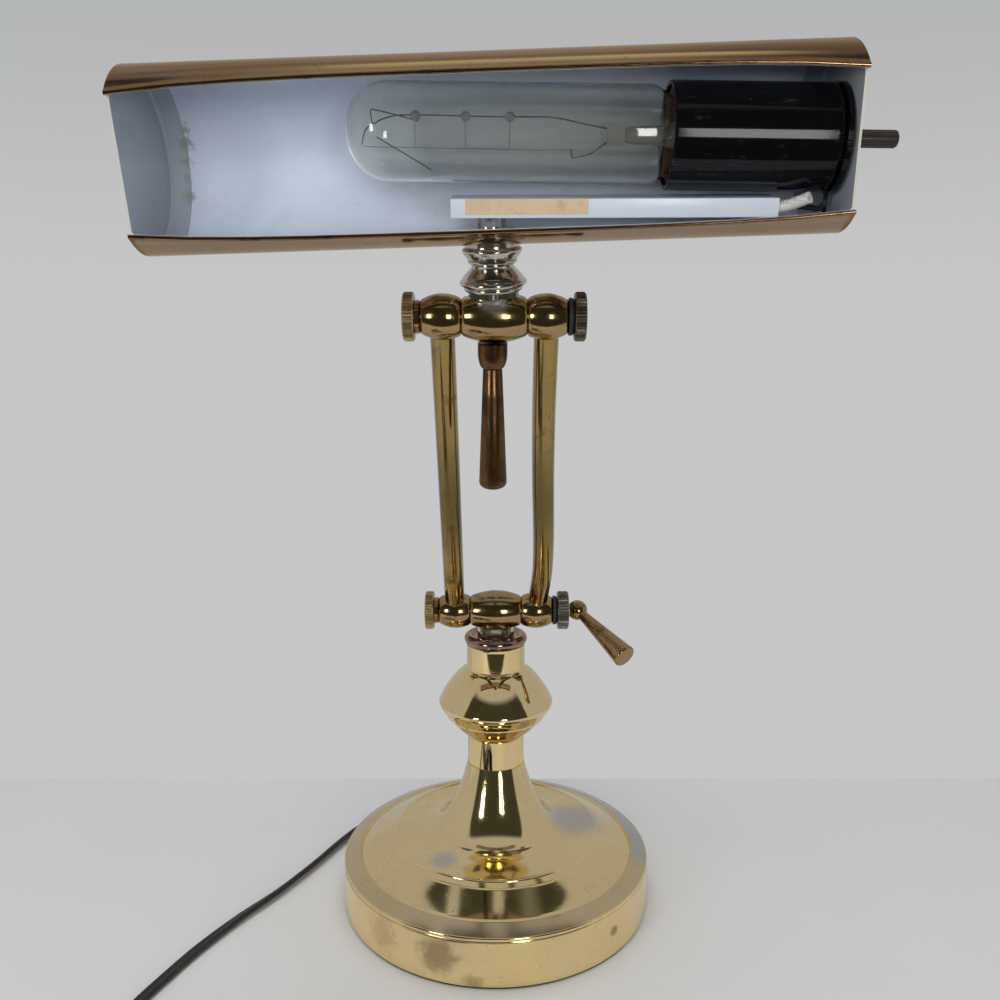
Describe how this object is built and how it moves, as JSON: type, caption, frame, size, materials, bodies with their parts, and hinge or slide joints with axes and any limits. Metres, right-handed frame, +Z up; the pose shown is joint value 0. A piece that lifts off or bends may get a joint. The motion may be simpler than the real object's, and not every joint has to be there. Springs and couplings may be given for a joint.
{
  "type": "bankers lamp",
  "caption": "Desk lamp with a round brass base, a pair of swing arms and a swivelling half-round trough shade over a tubular bulb, with a turn switch and clamp lever.",
  "frame": {"origin": "centre of the felt foot on the floor", "axes": "+Z up, +X along the shade towards the switch, -Y to the front, where the mouth of the shade opens"},
  "size_m": [0.304, 0.3057, 0.3722],
  "materials": {
    "polished_brass": "polished brass under worn clear lacquer",
    "aged_brass": "aged brass with brown oxide and pitting",
    "tarnished_brass": "tarnished brass outside, white paint inside",
    "white_enamel": "semi-gloss white paint",
    "dull_nickel": "dull nickel plate",
    "grey_steel": "plain grey steel",
    "dark_bronze": "dark bronze finish",
    "black_rubber": "matt black rubber",
    "cast_weight": "bare casting",
    "black_felt": "felt",
    "black_phenolic": "glossy black moulding",
    "brown_phenolic": "dark brown moulding",
    "brown_card": "brown card",
    "bright_brass": "plain stamped brass",
    "clear_glass": "clear blown glass",
    "dark_wire": "drawn wire",
    "white_braid": "woven sleeve",
    "black_cord": "glossy black flexible cord"
  },
  "bodies": {
    "stand": {"base_shell": "polished_brass", "base_weight": "cast_weight", "base_felt": "black_felt", "base_washer": "grey_steel", "base_nut": "polished_brass", "lamp_pipe": "grey_steel", "column_sleeve": "polished_brass", "column_vase": "polished_brass", "column_collar": "polished_brass", "lower_lock_ring": "dull_nickel", "lower_knuckle": "aged_brass", "lower_pivot_bolt": "grey_steel", "lower_left_washer": "aged_brass", "lower_right_washer": "black_rubber", "cord_bushing": "black_rubber", "cord_run": "black_cord", "cord_coil": "black_cord", "cord_tie": "black_rubber", "plug_body": "black_phenolic", "plug_blades": "bright_brass"},
    "arms": {"left_arm_tube": "aged_brass", "right_arm_tube": "aged_brass", "left_lower_eye": "aged_brass", "right_lower_eye": "aged_brass", "left_upper_eye": "aged_brass", "right_upper_eye": "aged_brass"},
    "head": {"upper_knuckle": "aged_brass", "upper_pivot_bolt": "grey_steel", "upper_left_washer": "aged_brass", "upper_right_washer": "black_rubber", "upper_lock_ring": "dull_nickel", "swivel_cup": "dull_nickel", "handle_ferrule": "aged_brass", "tilt_handle": "aged_brass"},
    "shade": {"swivel_cap": "dull_nickel", "swivel_nipple": "dull_nickel", "swivel_nut": "dull_nickel", "shade_trough": "tarnished_brass", "left_end_cap": "white_enamel", "right_end_cap": "white_enamel", "raceway": "white_enamel", "lead_sleeve": "white_braid", "lead_wire": "black_cord", "insulating_disc": "black_phenolic", "socket_shell": "black_phenolic", "socket_liner": "brown_card", "socket_core": "brown_phenolic", "screw_shell": "bright_brass", "bulb_base": "bright_brass", "bulb_glass": "clear_glass", "bulb_stem": "clear_glass", "filament_support": "dark_wire", "filament": "dark_wire"},
    "knob": {"switch_knob": "brown_phenolic"},
    "lever": {"lever_nut": "grey_steel", "lever_ball": "aged_brass", "lever_handle": "aged_brass"},
    "lower_left_thumb_nut": {"lower_left_nut": "polished_brass"},
    "upper_left_thumb_nut": {"upper_left_nut": "polished_brass"},
    "upper_right_thumb_nut": {"upper_right_nut": "dark_bronze"}
  },
  "joints": [
    {"name": "arm_lean", "type": "hinge", "parent": "stand", "child": "arms", "pos_m": [0, 0, 0.1456], "axis": [1, 0, 0], "range_deg": [-41.5, 33.5]},
    {"name": "head_tilt", "type": "hinge", "parent": "arms", "child": "head", "pos_m": [0, -0.08329, 0.28151], "axis": [1, 0, 0], "range_deg": [-60, 75]},
    {"name": "shade_swivel", "type": "hinge", "parent": "head", "child": "shade", "pos_m": [0, -0.08329, 0.28151], "axis": [-0.0332, -0.2078, 0.9776], "range_deg": [-90, 90]},
    {"name": "switch_turn", "type": "hinge", "parent": "shade", "child": "knob", "pos_m": [0.11725, -0.09593, 0.341], "axis": [0.9999, 0.0029, -0.0137], "continuous": true},
    {"name": "lever_turn", "type": "hinge", "parent": "stand", "child": "lever", "pos_m": [0, 0, 0.1456], "axis": [1, 0, 0], "range_deg": [-90, 90]},
    {"name": "lower_left_nut_turn", "type": "hinge", "parent": "stand", "child": "lower_left_thumb_nut", "pos_m": [0, 0, 0.1456], "axis": [1, 0, 0], "range_deg": [-180, 180]},
    {"name": "upper_left_nut_turn", "type": "hinge", "parent": "head", "child": "upper_left_thumb_nut", "pos_m": [0, -0.08329, 0.28151], "axis": [1, 0, 0], "range_deg": [-180, 180]},
    {"name": "upper_right_nut_turn", "type": "hinge", "parent": "head", "child": "upper_right_thumb_nut", "pos_m": [0, -0.08329, 0.28151], "axis": [1, 0, 0], "range_deg": [-180, 180]}
  ]
}
